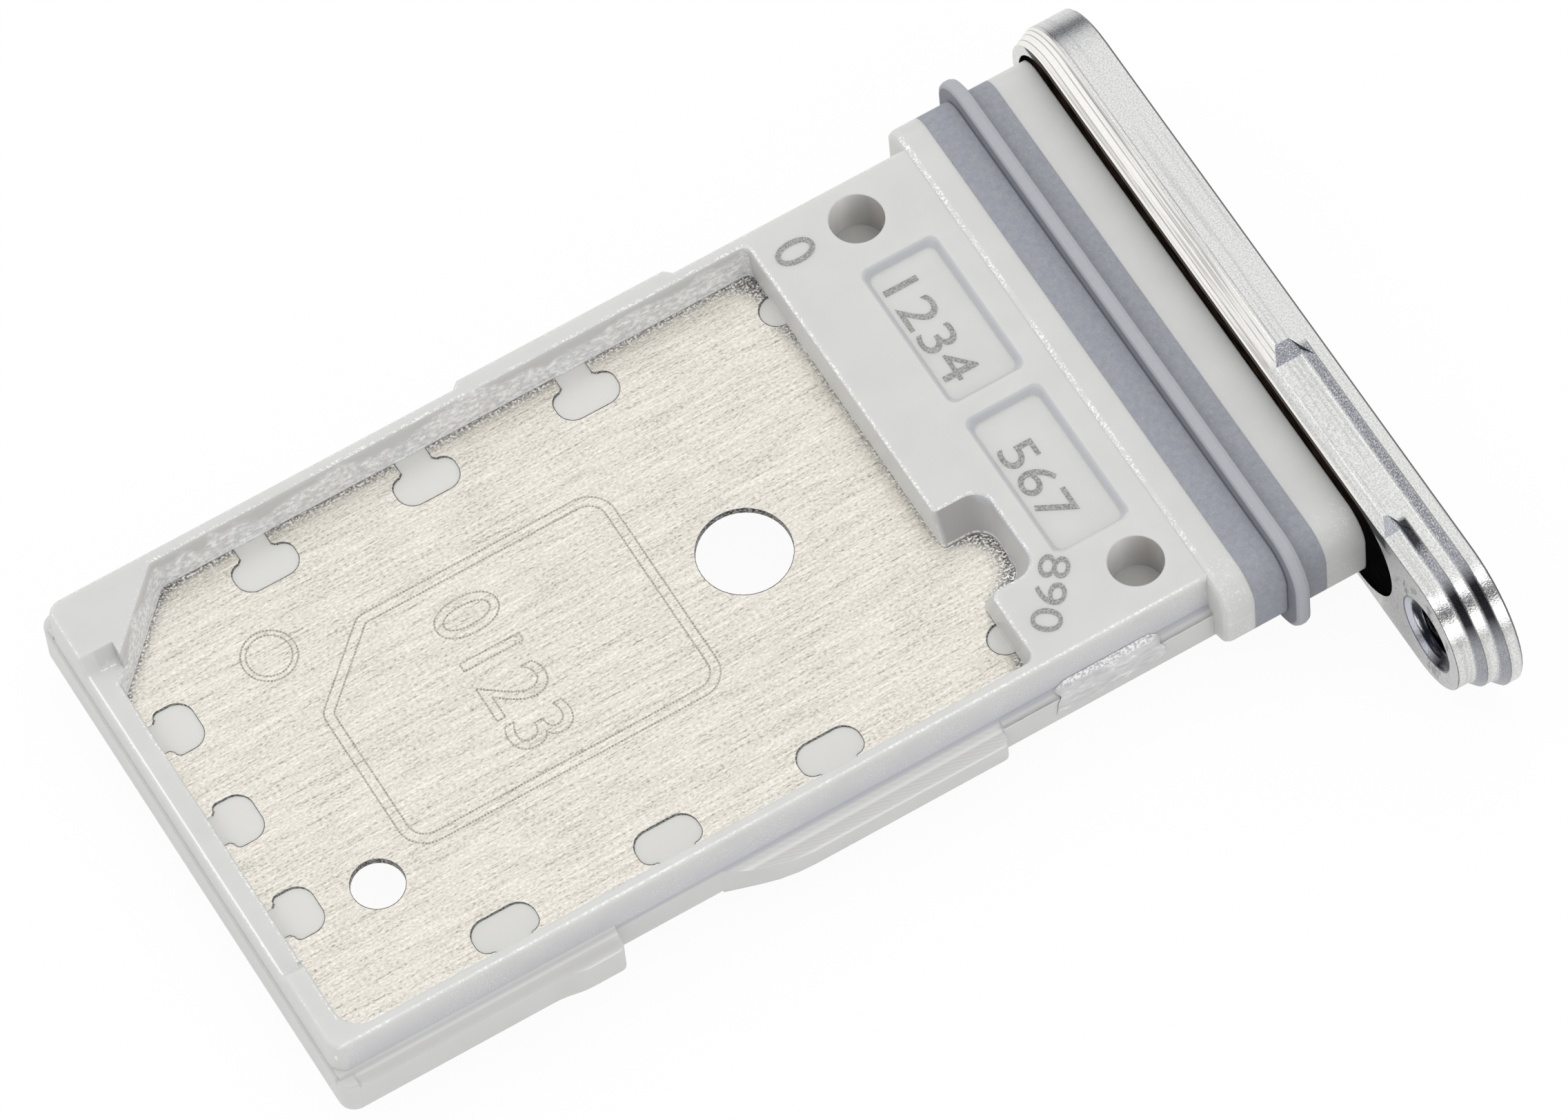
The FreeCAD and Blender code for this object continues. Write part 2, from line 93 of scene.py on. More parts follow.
# Numbers: text, centre, running direction in degrees, length and height
PLATE_NUMBER = ("0123", (-3.98, 1.55), -90, 3.05, 1.13)
HEAD_NUMBERS = [("head_number_far", "1234", (4.93, 2.97), -90, 2.10, 0.64, 2.045),
                ("head_number_near", "567", (4.93, -0.36), -90, 1.62, 0.64, 2.045),
                ("head_number_zero", "0", (3.77, 5.36), -90, 0.46, 0.70, 2.205),
                ("head_number_end", "890", (3.99, -2.33), -128, 1.42, 0.52, 2.205)]

# Rough patch that the moulding gate left on the near foot
SCAR_START = 3.32
SCAR_END = 5.32
SCAR_SECTION = [(-3.436, 1.46), (-3.475, 1.43), (-3.52, 1.39), (-3.575, 1.34), (-3.602, 1.28), (-3.604, 1.16),
                (-3.605, 1.02), (-3.604, 0.88), (-3.593, 0.74)]
# Height above which the scar carries its painted highlight
SCAR_BRIGHT = 1.395
SCAR_RIPPLE = 0.016


def link_or_set(tree, socket, value):
    """Join a socket to another node's output, or give it a plain value."""
    if isinstance(value, bpy.types.NodeSocket):
        tree.links.new(value, socket)
    else:
        socket.default_value = value


def add_node(tree, kind, settings, inputs):
    """New node with its settings and its inputs."""
    node = tree.nodes.new(kind)
    for name, value in settings.items():
        setattr(node, name, value)
    for name, value in inputs.items():
        link_or_set(tree, node.inputs[name], value)
    return node


def calculate(tree, operation, first, second=0.0, third=0.0):
    """Output of a maths node."""
    node = add_node(tree, "ShaderNodeMath", {"operation": operation}, {0: first, 1: second, 2: third})
    return node.outputs[0]


def multiply(tree, *factors):
    """Product of several values."""
    product = factors[0]
    for factor in factors[1:]:
        product = calculate(tree, "MULTIPLY", product, factor)
    return product


def band(tree, value, low, high, soft):
    """One between two limits and nothing outside them, with soft ends."""
    rise = add_node(tree, "ShaderNodeMapRange", {"clamp": True},
                    {"Value": value, "From Min": low - soft, "From Max": low + soft})
    fall = add_node(tree, "ShaderNodeMapRange", {"clamp": True},
                    {"Value": value, "From Min": high - soft, "From Max": high + soft,
                     "To Min": 1.0, "To Max": 0.0})
    return multiply(tree, rise.outputs["Result"], fall.outputs["Result"])


def place_in_mm(tree, stretch=(1, 1, 1)):
    """Position on the object in millimetres, squeezed by a factor along each axis."""
    place = add_node(tree, "ShaderNodeTexCoord", {}, {})
    scaled = add_node(tree, "ShaderNodeMapping", {},
                      {"Vector": place.outputs["Object"], "Scale": [s / MM for s in stretch]})
    return scaled.outputs["Vector"]


def axes(tree, vector):
    """The three parts of a vector."""
    parts = add_node(tree, "ShaderNodeSeparateXYZ", {}, {"Vector": vector})
    return parts.outputs["X"], parts.outputs["Y"], parts.outputs["Z"]


def surface_direction(tree):
    """The three parts of the surface's own direction on the object."""
    return axes(tree, add_node(tree, "ShaderNodeTexCoord", {}, {}).outputs["Normal"])


def noise(tree, per_mm, stretch=(1, 1, 1), detail=2.0, roughness=0.5):
    """Fine noise with about that many lumps a millimetre."""
    node = add_node(tree, "ShaderNodeTexNoise", {},
                    {"Vector": place_in_mm(tree, stretch), "Scale": per_mm, "Detail": detail,
                     "Roughness": roughness})
    return node.outputs["Fac"]


def ramp(tree, value, stops):
    """Colour that follows a value through stops given as (position, colour)."""
    node = add_node(tree, "ShaderNodeValToRGB", {}, {"Fac": value})
    scale = node.color_ramp
    while len(scale.elements) < len(stops):
        scale.elements.new(0.5)
    for element, (position, colour) in zip(scale.elements, stops):
        element.position = position
        element.color = (*colour, 1)
    return node.outputs["Color"]


def blend(tree, share, first, second):
    """Colour that goes from the first to the second as the share goes from 0 to 1."""
    node = add_node(tree, "ShaderNodeMix", {"data_type": "RGBA", "clamp_factor": True}, {"Factor": share})
    sockets = [socket for socket in node.inputs if socket.type == "RGBA"]
    for socket, colour in zip(sockets, (first, second)):
        link_or_set(tree, socket, colour if isinstance(colour, bpy.types.NodeSocket) else (*colour, 1))
    return [socket for socket in node.outputs if socket.type == "RGBA"][0]


def bump(tree, height, depth_mm, normal=None):
    """Surface normal shaken by a height of up to that many millimetres."""
    inputs = {"Height": height, "Distance": depth_mm * MM, "Strength": 1.0}
    if normal is not None:
        inputs["Normal"] = normal
    return add_node(tree, "ShaderNodeBump", {}, inputs).outputs["Normal"]


def soft_edges(tree, radius_mm):
    """Normal that rounds sharp edges by a small radius."""
    return add_node(tree, "ShaderNodeBevel", {"samples": 6}, {"Radius": radius_mm * MM}).outputs["Normal"]


def new_material(name, values):
    """Material with one main shader, its plain values set on its own sockets."""
    material = bpy.data.materials.new(name)
    material.use_nodes = True
    tree = material.node_tree
    shader = tree.nodes["Principled BSDF"]
    for socket, value in values.items():
        shader.inputs[socket].default_value = value
    return material, tree, shader


def near_places(tree, x, y, places, reach):
    """One within a reach of any of several places seen from above."""
    share = 0.0
    for place_x, place_y in places:
        here = multiply(tree, band(tree, x, place_x - reach, place_x + reach, 0.01),
                        band(tree, y, place_y - reach, place_y + reach, 0.01))
        share = here if share == 0.0 else calculate(tree, "MAXIMUM", share, here)
    return share


def white_plastic():
    """Satin moulded plastic: frost patches on the pocket's far wall, painted shade and light, and painted glints on
    its edges.
    """
    material, tree, shader = new_material("white_plastic", {
        "Subsurface Weight": 0.35, "Subsurface Radius": (1.0, 0.95, 0.9), "Subsurface Scale": 0.25 * MM})
    x, y, z = axes(tree, place_in_mm(tree))
    nx, ny, nz = surface_direction(tree)
    steep = band(tree, nz, -0.6, 0.6, 0.1)
    raised = band(tree, z, 1.75, 5.0, 0.02)
    cloud = noise(tree, 1.3, detail=3.0)
    colour = ramp(tree, cloud, [(0.3, (0.665, 0.665, 0.650)), (0.7, (0.695, 0.695, 0.680))])
    on_plate = band(tree, z, PLATE_TOP - 0.02, PLATE_TOP + 0.004, 0.003)
    colour = blend(tree, on_plate, colour, (0.745, 0.74, 0.715))
    in_plan = multiply(tree, band(tree, x, POCKET_TIP - 0.2, POCKET_HEAD + 1.1, 0.02),
                       band(tree, y, MIDDLE_Y - POCKET_HALF - 0.16, MIDDLE_Y + POCKET_HALF + 0.16, 0.02))
    walls = multiply(tree, in_plan, steep, band(tree, z, PLATE_TOP + 0.002, 5.0, 0.002))
    # Painted shade: the pocket's steep walls are greyed.
    colour = blend(tree, multiply(tree, walls, 0.8), colour, (0.60, 0.60, 0.60))
    patches = noise(tree, 0.9, (1.0, 1.0, 0.6), detail=3.0, roughness=0.6)
    wavy = calculate(tree, "MULTIPLY_ADD", patches, 1.3, calculate(tree, "MULTIPLY", z, -1.0))
    facing = multiply(tree, band(tree, ny, -2.0, -0.5, 0.1), band(tree, x, -20.0, POCKET_HEAD + 0.02, 0.02))
    # Painted shade: the scoop's walls darken, most where they face -Y.
    scoop = multiply(tree, walls, band(tree, x, POCKET_HEAD + 0.06, 20.0, 0.05))
    scoop_share = calculate(tree, "MULTIPLY_ADD", band(tree, ny, -2.0, -0.55, 0.3), 0.55, 0.25)
    colour = blend(tree, multiply(tree, scoop, scoop_share), colour, (0.40, 0.39, 0.385))
    # Frost on the far wall's lower part, with painted sparkle: its specks run up to pure white.
    frost_and_painted_sparkle = multiply(tree, walls, facing, band(tree, wavy, -1.38, 9.0, 0.06))
    frost = noise(tree, 15.0, (0.6, 1.0, 1.0), detail=3.0, roughness=0.65)
    frost_sparkle_colour = ramp(tree, frost, [(0.36, (0.62, 0.63, 0.64)), (0.52, (0.80, 0.80, 0.80)),
                                      (0.64, (1.0, 1.0, 1.0))])
    colour = blend(tree, multiply(tree, frost_and_painted_sparkle, 0.9), colour, frost_sparkle_colour)
    # Painted light: a bright speckled line near the foot of the pocket's walls.
    foot = multiply(tree, walls, band(tree, z, PLATE_TOP + 0.03, PLATE_TOP + 0.065, 0.008))
    speckle = noise(tree, 20.0, detail=2.0)
    colour = blend(tree, multiply(tree, foot, band(tree, speckle, 0.44, 2.0, 0.04)), colour, (0.99, 0.99, 0.98))
    # Painted shade on the walls of the label recesses.
    in_label = multiply(tree, band(tree, x, LABEL_AREA[0], LABEL_AREA[1], 0.02),
                        band(tree, y, LABEL_AREA[2], LABEL_AREA[3], 0.02),
                        band(tree, z, LABEL_FLOOR + 0.012, WALL_TOP - 0.012, 0.008))
    colour = blend(tree, multiply(tree, in_label, 0.75), colour, (0.53, 0.54, 0.575))
    # Painted light and shade in the locating holes: walls facing -X are shaded, the others lit.
    in_holes = multiply(tree, near_places(tree, x, y, LOCATING_HOLES, 0.48), steep)
    hole_light_and_shade = blend(tree, band(tree, nx, -0.35, 2.0, 0.45), (0.50, 0.48, 0.46), (0.88, 0.88, 0.87))
    colour = blend(tree, in_holes, colour, hole_light_and_shade)
    # Painted glints: near-white specks along the rims, the low tip wall and the near wall's top edge.
    rim = multiply(tree, band(tree, nz, 0.88, 0.955, 0.01), raised, band(tree, x, -20.0, COLLAR_START + 0.12, 0.01),
                   band(tree, y, NEAR_WALL_FACE + 0.5, 20.0, 0.02))
    low_line = multiply(tree, band(tree, x, LOW_WALL_GLINT - 0.012, LOW_WALL_GLINT + 0.012, 0.006),
                        band(tree, z, LOW_WALL_TOP - 0.1, LOW_WALL_TOP + 0.02, 0.01))
    glint = multiply(tree, band(tree, noise(tree, 27.0, detail=2.0), 0.55, 2.0, 0.03),
                     band(tree, noise(tree, 1.1, detail=2.0), 0.44, 2.0, 0.10))
    sparkle = multiply(tree, band(tree, noise(tree, 20.0, detail=2.0), 0.53, 2.0, 0.03),
                       band(tree, noise(tree, 2.2, detail=2.0), 0.42, 2.0, 0.10))
    near_line = multiply(tree, band(tree, y, NEAR_WALL_GLINT - 0.018, NEAR_WALL_GLINT + 0.018, 0.014),
                         band(tree, z, WALL_TOP - 0.06, WALL_TOP + 0.02, 0.01),
                         band(tree, x, -20.0, COLLAR_START - 0.1, 0.02),
                         calculate(tree, "MULTIPLY_ADD", sparkle, 0.70, 0.25))
    painted_glints = calculate(tree, "MAXIMUM", multiply(tree, rim, glint, 0.8), multiply(tree, low_line, 0.9))
    painted_glints = calculate(tree, "MAXIMUM", painted_glints, near_line)
    outside = multiply(tree, band(tree, y, -20.0, NEAR_WALL_FACE + 0.01, 0.01), band(tree, x, -20.0, COLLAR_START, 0.02))
    on_side = multiply(tree, outside, band(tree, ny, -2.0, -0.85, 0.05), band(tree, z, RAIL_ROOT, 5.0, 0.02))
    # Painted shade on the near wall's outer face, darker towards the ledge below.
    shade = add_node(tree, "ShaderNodeMapRange", {"clamp": True},
                     {"Value": z, "From Min": WALL_TOP, "From Max": RAIL_ROOT}).outputs["Result"]
    colour = blend(tree, multiply(tree, on_side, shade, 0.85), colour, (0.56, 0.563, 0.605))
    # Painted sparkle: pale specks on the near wall's outer face.
    painted_side_sparkle = multiply(tree, on_side, band(tree, noise(tree, 30.0, detail=2.0), 0.58, 2.0, 0.05),
                    band(tree, noise(tree, 1.6, detail=2.0), 0.45, 2.0, 0.12), 0.40)
    colour = blend(tree, painted_side_sparkle, colour, (0.92, 0.92, 0.93))
    on_ledge = multiply(tree, outside, band(tree, nz, 0.45, 2.0, 0.15), band(tree, z, 0.85, RAIL_ROOT + 0.03, 0.02))
    crease = multiply(tree, outside, band(tree, y, NEAR_WALL_FACE - 0.055, 20.0, 0.02),
                      band(tree, z, RAIL_ROOT - 0.06, RAIL_ROOT + 0.05, 0.03))
    slanted = calculate(tree, "MULTIPLY_ADD", x, RIPPLE_SLANT, y)
    wander = calculate(tree, "MULTIPLY_ADD", noise(tree, 2.0), 3.0,
                       multiply(tree, slanted, 2 * math.pi / RIPPLE_PITCH))
    ripple = calculate(tree, "MULTIPLY_ADD", calculate(tree, "SINE", wander),
                       multiply(tree, band(tree, x, RAIL_START, RAIL_END, 0.02), 0.22), 0.5)
    ledge_colour = ramp(tree, ripple, [(0.1, (0.655, 0.65, 0.64)), (0.9, (0.765, 0.76, 0.745))])
    colour = blend(tree, multiply(tree, on_ledge, 0.9), colour, ledge_colour)
    # Painted shade in the crease where the near wall meets the ledge.
    colour = blend(tree, multiply(tree, crease, 0.75), colour, (0.47, 0.475, 0.53))
    # Painted highlight along the ledges' outer edges.
    ledge_edge_highlight = multiply(tree, outside, band(tree, nz, 0.30, 0.80, 0.05), band(tree, z, 0.85, RAIL_ROOT + 0.02, 0.02),
                          band(tree, y, -20.0, NEAR_WALL_FACE - 0.09, 0.02))
    colour = blend(tree, multiply(tree, ledge_edge_highlight, 0.8), colour, (0.86, 0.86, 0.85))
    # Painted sparkle near the collar's near corners, joined to the painted glints.
    near_corners = multiply(tree, band(tree, y, -20.0, NEAR_CORNERS, 0.15), band(tree, x, COLLAR_START, 20.0, 0.05),
                            band(tree, noise(tree, 23.0, detail=2.0), 0.60, 2.0, 0.03),
                            band(tree, noise(tree, 2.4, detail=2.0), 0.50, 2.0, 0.08), 0.35)
    painted_glints = calculate(tree, "MAXIMUM", painted_glints, near_corners)
    # The painted glints are laid on in near white.
    colour = blend(tree, painted_glints, colour, (1.0, 1.0, 0.99))
    tree.links.new(colour, shader.inputs["Base Color"])
    polish = calculate(tree, "MAXIMUM", painted_glints, calculate(tree, "MAXIMUM", frost_and_painted_sparkle, in_holes))
    tree.links.new(calculate(tree, "MULTIPLY_ADD", polish, -0.18, 0.40), shader.inputs["Roughness"])
    relief = multiply(tree, noise(tree, 22.0, detail=2.0),
                      calculate(tree, "MULTIPLY_ADD", frost_and_painted_sparkle, 2.4, 0.6))
    tree.links.new(bump(tree, relief, 0.0030, soft_edges(tree, 0.04)), shader.inputs["Normal"])
    return material


def brushed_plate():
    """Thin steel sheet brushed along the tray, with painted shade and glitter at the foot of the walls, dark glitter
    on its cut edges and in its holes.
    """
    material, tree, shader = new_material("brushed_plate", {"Metallic": 1.0, "Roughness": 0.30})
    nx, ny, nz = surface_direction(tree)
    cut_edge = band(tree, nz, -0.5, 0.5, 0.1)
    streaks = noise(tree, 20.0, (0.055, 1.0, 1.0), detail=3.0, roughness=0.75)
    speckle = noise(tree, 30.0, (0.5, 1.0, 1.0), detail=2.0, roughness=0.6)
    mixed = calculate(tree, "MULTIPLY_ADD", speckle, 0.54, multiply(tree, streaks, 0.46))
    colour = ramp(tree, mixed, [(0.345, (0.38, 0.35, 0.31)), (0.44, (0.705, 0.67, 0.60)),
                                (0.53, (0.825, 0.79, 0.715)), (0.64, (0.98, 0.95, 0.89))])
    # Painted shade with glitter at the foot of the walls, from how closely the walls hem each point in; stronger by
    # the far wall, the head and the scoop.
    shade = add_node(tree, "ShaderNodeAmbientOcclusion", {"samples": 16}, {"Distance": 0.60 * MM})
    x, y, z = axes(tree, place_in_mm(tree))
    far_side = multiply(tree, band(tree, y, MIDDLE_Y + POCKET_HALF - 1.6, 20.0, 0.5), 0.19)
    at_head = multiply(tree, band(tree, x, POCKET_HEAD - 0.40, 20.0, 0.02), 0.08)
    in_scoop = multiply(tree, band(tree, x, POCKET_HEAD + 0.03, 20.0, 0.02), 0.28)
    closeness = calculate(tree, "MAXIMUM", far_side, calculate(tree, "MAXIMUM", at_head, in_scoop))
    openness = calculate(tree, "SUBTRACT", shade.outputs["AO"], closeness)
    glitter = noise(tree, 26.0, (0.8, 1.0, 1.0), detail=2.0, roughness=0.6)
    dark = ramp(tree, glitter, [(0.38, (0.11, 0.105, 0.10)), (0.51, (0.36, 0.35, 0.34)),
                                (0.60, (0.97, 0.95, 0.93))])
    shadowed = add_node(tree, "ShaderNodeMapRange", {"clamp": True},
                        {"Value": openness, "From Min": 0.54, "From Max": 0.38}).outputs["Result"]
    colour = blend(tree, shadowed, colour, dark)
    edge = ramp(tree, glitter, [(0.42, (0.03, 0.03, 0.03)), (0.64, (0.45, 0.44, 0.42))])
    tree.links.new(blend(tree, cut_edge, colour, edge), shader.inputs["Base Color"])
    tree.links.new(bump(tree, mixed, 0.009), shader.inputs["Normal"])
    return material


def grey_silicone():
    """Matte blue-grey silicone with a powdery grain, a painted highlight on the lip and painted shade in the corners
    beside it.
    """
    material, tree, shader = new_material("grey_silicone", {"Roughness": 0.62, "Specular IOR Level": 0.4})
    x, y, z = axes(tree, place_in_mm(tree))
    cloud = noise(tree, 9.0, detail=3.0, roughness=0.7)
    colour = ramp(tree, cloud, [(0.3, (0.295, 0.307, 0.350)), (0.7, (0.355, 0.367, 0.408))])
    powder = band(tree, noise(tree, 34.0, detail=2.0), 0.60, 2.0, 0.05)
    colour = blend(tree, multiply(tree, powder, 0.14), colour, (0.62, 0.63, 0.66))
    # Painted highlight on the lip; painted shade in the corners beside it.
    on_lip = band(tree, x, SEAL_LIP[0], SEAL_LIP[1], 0.01)
    beside = calculate(tree, "SUBTRACT", band(tree, x, SEAL_LIP[0] - 0.03, SEAL_LIP[1] + 0.045, 0.012), on_lip)
    colour = blend(tree, multiply(tree, on_lip, 0.65), colour, (0.49, 0.50, 0.535))
    colour = blend(tree, multiply(tree, beside, 0.9), colour, (0.08, 0.085, 0.11))
    tree.links.new(colour, shader.inputs["Base Color"])
    normal = bump(tree, noise(tree, 30.0), 0.0030, soft_edges(tree, 0.02))
    tree.links.new(normal, shader.inputs["Normal"])
    return material


def step_mask(tree, depth, y, wall, cut_y):
    """One on the sloped wall behind a ledge, from near its foot to its top edge."""
    start, end = wall
    return multiply(tree, band(tree, depth, start + 0.03, end + 0.004, 0.02),
                    band(tree, y, -20.0, cut_y, 0.05))


def silver_bezel():
    """Blasted aluminium: turned lines on its bevel, with painted shade on speckled step walls, a painted dark
    reflection on its front edge, and more painted light and shade.
    """
    material, tree, shader = new_material("silver_bezel", {"Specular IOR Level": 0.1})
    x, y, z = axes(tree, place_in_mm(tree))
    nx, ny, nz = surface_direction(tree)
    depth = calculate(tree, "SUBTRACT", x, BEZEL_BACK)
    on_end = band(tree, y, -20.0, BEZEL_BEND_Y, 0.3)
    fine = noise(tree, 34.0, detail=2.0, roughness=0.6)
    lines = noise(tree, 13.0, (1.0, 0.012, 0.012), detail=2.0, roughness=0.6)
    colour = ramp(tree, fine, [(0.36, (0.60, 0.60, 0.59)), (0.50, (0.74, 0.74, 0.73)), (0.66, (0.86, 0.86, 0.85))])
    faint = band(tree, lines, -1.0, 0.44, 0.02)
    colour = blend(tree, multiply(tree, faint, 0.22), colour, (0.30, 0.30, 0.31))
    before_cut = band(tree, y, FIRST_CUT_Y, 20.0, 0.05)
    bevel = multiply(tree, band(tree, depth, 0.004, BEVEL_RUN + 0.01, 0.006), before_cut)
    turned = ramp(tree, lines, [(0.38, (0.55, 0.54, 0.52)), (0.45, (0.90, 0.88, 0.84)), (0.58, (1.0, 0.985, 0.95))])
    colour = blend(tree, multiply(tree, bevel, 0.8), colour, turned)
    wear = noise(tree, 1.1, (0.2, 1.0, 1.0), detail=2.0)
    for line in BEVEL_LINES:
        cut_line = multiply(tree, band(tree, depth, line - 0.007, line + 0.007, 0.005), before_cut,
                            band(tree, wear, 0.34, 2.0, 0.12), 0.6)
        colour = blend(tree, cut_line, colour, (0.16, 0.15, 0.14))
    # Painted dark reflection on the far bend, where the surface turns towards +Y.
    far_bend_reflection = multiply(tree, band(tree, ny, 0.22, 0.62, 0.16), band(tree, depth, BEVEL_RUN + 0.03, 5.0, 0.02), 0.6)
    colour = blend(tree, far_bend_reflection, colour, (0.30, 0.31, 0.335))
    steps = calculate(tree, "MAXIMUM", step_mask(tree, depth, y, FIRST_WALL, FIRST_CUT_Y),
                      step_mask(tree, depth, y, SECOND_WALL, SECOND_CUT_Y))
    above = multiply(tree, band(tree, y, BEZEL_BEND_Y, 0.0, 0.02), band(tree, z, 1.6, 5.0, 0.1))
    ramps = multiply(tree, band(tree, ny, -0.95, -0.25, 0.05), band(tree, nz, 0.6, 2.0, 0.1), above)
    corners = multiply(tree, band(tree, ny, -0.95, -0.25, 0.05), band(tree, nz, -0.3, 0.3, 0.1), above)
    # Painted shade and dark reflection, speckled, on the step walls and ramps.
    speckled = ramp(tree, fine, [(0.38, (0.19, 0.195, 0.21)), (0.52, (0.35, 0.36, 0.39)), (0.66, (0.64, 0.65, 0.68))])
    colour = blend(tree, calculate(tree, "MAXIMUM", steps, ramps), colour, speckled)
    # Painted reflection: the ramps turn pale blue-grey, most on the second ramp.
    second_ramp = band(tree, y, BEZEL_BEND_Y, FIRST_CUT_Y - 1.0, 0.1)
    pale_ramp_reflection = multiply(tree, ramps, calculate(tree, "MULTIPLY_ADD", second_ramp, 0.5, 0.4))
    colour = blend(tree, pale_ramp_reflection, colour, (0.86, 0.88, 0.93))
    # Painted shadow, nearly black, where the second step wall starts.
    dark_start = multiply(tree, step_mask(tree, depth, y, SECOND_WALL, SECOND_CUT_Y),
                          band(tree, y, SECOND_CUT_Y - 0.62, SECOND_CUT_Y + 0.1, 0.14))
    colour = blend(tree, multiply(tree, dark_start, 0.92), colour, (0.02, 0.02, 0.025))
    # Painted shade: upright faces turned towards -Y in the cuts go nearly black.
    colour = blend(tree, corners, colour, (0.012, 0.012, 0.016))
    # Painted shade: plain mid grey on the step walls at the round end.
    smooth_shaded_walls = multiply(tree, steps, on_end, 0.7)
    colour = blend(tree, smooth_shaded_walls, colour, (0.34, 0.35, 0.385))
    # Painted dark reflection on the step walls where they bend round.
    dark_bend = multiply(tree, steps, band(tree, ny, -0.56, -0.16, 0.08))
    colour = blend(tree, dark_bend, colour, (0.03, 0.03, 0.035))
    fin_edge = multiply(tree, band(tree, depth, 0.001, 0.014, 0.003), band(tree, y, -20.0, SECOND_CUT_Y, 0.05))
    colour = blend(tree, multiply(tree, fin_edge, 0.8), colour, (0.08, 0.08, 0.09))
    # Painted shadow along the top edge of each step wall.
    for start, end in (FIRST_WALL, SECOND_WALL):
        top_edge_shadow = multiply(tree, band(tree, depth, end - 0.004, end + 0.016, 0.005),
                            band(tree, y, -20.0, FIRST_CUT_Y if end > 0.5 else SECOND_CUT_Y, 0.05))
        colour = blend(tree, multiply(tree, top_edge_shadow, 0.7), colour, (0.13, 0.125, 0.12))
    # Painted dark reflection on the front edge's chamfer.
    front_edge_reflection = band(tree, x, BEZEL_FRONT - 0.040, BEZEL_FRONT - 0.004, 0.004)
    colour = blend(tree, multiply(tree, front_edge_reflection, 0.92), colour, (0.06, 0.06, 0.07))
    # Painted shadow: the back face's flat rim over the gasket goes black and is not metallic.
    painted_rim_shadow = multiply(tree, band(tree, depth, -0.1, 0.003, 0.002), band(tree, z, 2.45, 5.0, 0.03),
                           band(tree, y, SECOND_CUT_Y - 0.2, 6.9, 0.1))
    colour = blend(tree, painted_rim_shadow, colour, (0.004, 0.004, 0.004))
    # Painted highlight: a cream line where the bevel starts at the back.
    back_rim_highlight = multiply(tree, band(tree, depth, 0.004, 0.030, 0.004), band(tree, y, SECOND_CUT_Y + 0.6, 20.0, 0.2))
    colour = blend(tree, multiply(tree, back_rim_highlight, 0.8), colour, (1.0, 0.93, 0.86))
    off_middle = calculate(tree, "POWER", calculate(tree, "SUBTRACT", y, PIN_HOLE[0]), 2.0)
    off_height = calculate(tree, "POWER", calculate(tree, "SUBTRACT", z, PIN_HOLE[1]), 2.0)
    from_hole = calculate(tree, "SQRT", calculate(tree, "ADD", off_middle, off_height))
    scuffs = multiply(tree, band(tree, noise(tree, 5.0, (1.0, 1.0, 0.35), detail=4.0, roughness=0.7), 0.56, 2.0, 0.02),
                      band(tree, depth, -0.1, 0.01, 0.002), band(tree, from_hole, 0.66, 1.02, 0.05))
    colour = blend(tree, multiply(tree, scuffs, 0.7), colour, (0.12, 0.12, 0.13))
    # Painted light and shade at the pin hole: its mouth's cone is pale where lit, and dark with turned rings and
    # glints deeper in and on its -Y side.
    in_mouth = multiply(tree, band(tree, from_hole, -1.0, PIN_MOUTH - 0.012, 0.004), band(tree, depth, 0.004, 5.0, 0.003))
    colour = blend(tree, in_mouth, colour, (0.58, 0.60, 0.66))
    off_side = band(tree, y, -20.0, PIN_HOLE[0] - 0.12, 0.18)
    deep_in = multiply(tree, in_mouth, calculate(tree, "MAXIMUM", off_side,
                                                 band(tree, depth, PIN_MOUTH_PALE, 5.0, 0.012)))
    rings = ramp(tree, noise(tree, 16.0, (1.0, 0.15, 0.15), detail=3.0),
                 [(0.46, (0.02, 0.02, 0.03)), (0.58, (0.12, 0.12, 0.14)), (0.68, (0.80, 0.80, 0.82))])
    colour = blend(tree, deep_in, colour, rings)
    mouth_edge = multiply(tree, band(tree, from_hole, PIN_MOUTH - 0.008, PIN_MOUTH + 0.016, 0.004),
                          band(tree, depth, -0.1, 0.012, 0.002))
    colour = blend(tree, multiply(tree, mouth_edge, 0.75), colour, (0.07, 0.07, 0.08))
    tree.links.new(colour, shader.inputs["Base Color"])
    tree.links.new(calculate(tree, "SUBTRACT", 1.0, painted_rim_shadow), shader.inputs["Metallic"])
    tree.links.new(calculate(tree, "MULTIPLY_ADD", on_end, -0.09, 0.25), shader.inputs["Roughness"])
    height = calculate(tree, "MULTIPLY_ADD", lines, 0.6, multiply(tree, fine, 0.8))
    tree.links.new(bump(tree, height, 0.005, soft_edges(tree, 0.012)), shader.inputs["Normal"])
    return material


def black_gasket():
    """Black gasket with a brown tint on its upper side."""
    material, tree, shader = new_material("black_gasket", {"Roughness": 0.5, "Specular IOR Level": 0.0})
    x, y, z = axes(tree, place_in_mm(tree))
    upper = multiply(tree, band(tree, z, COLLAR_TOP + 0.06, 5.0, 0.05), band(tree, y, -3.4, 20.0, 1.0))
    cloud = noise(tree, 9.0, (1.0, 0.3, 1.0), detail=3.0)
    black = ramp(tree, cloud, [(0.35, (0.002, 0.002, 0.002)), (0.75, (0.007, 0.006, 0.006))])
    brown = ramp(tree, cloud, [(0.35, (0.005, 0.003, 0.002)), (0.70, (0.028, 0.018, 0.013))])
    tree.links.new(blend(tree, upper, black, brown), shader.inputs["Base Color"])
    tree.links.new(bump(tree, cloud, 0.004), shader.inputs["Normal"])
    return material


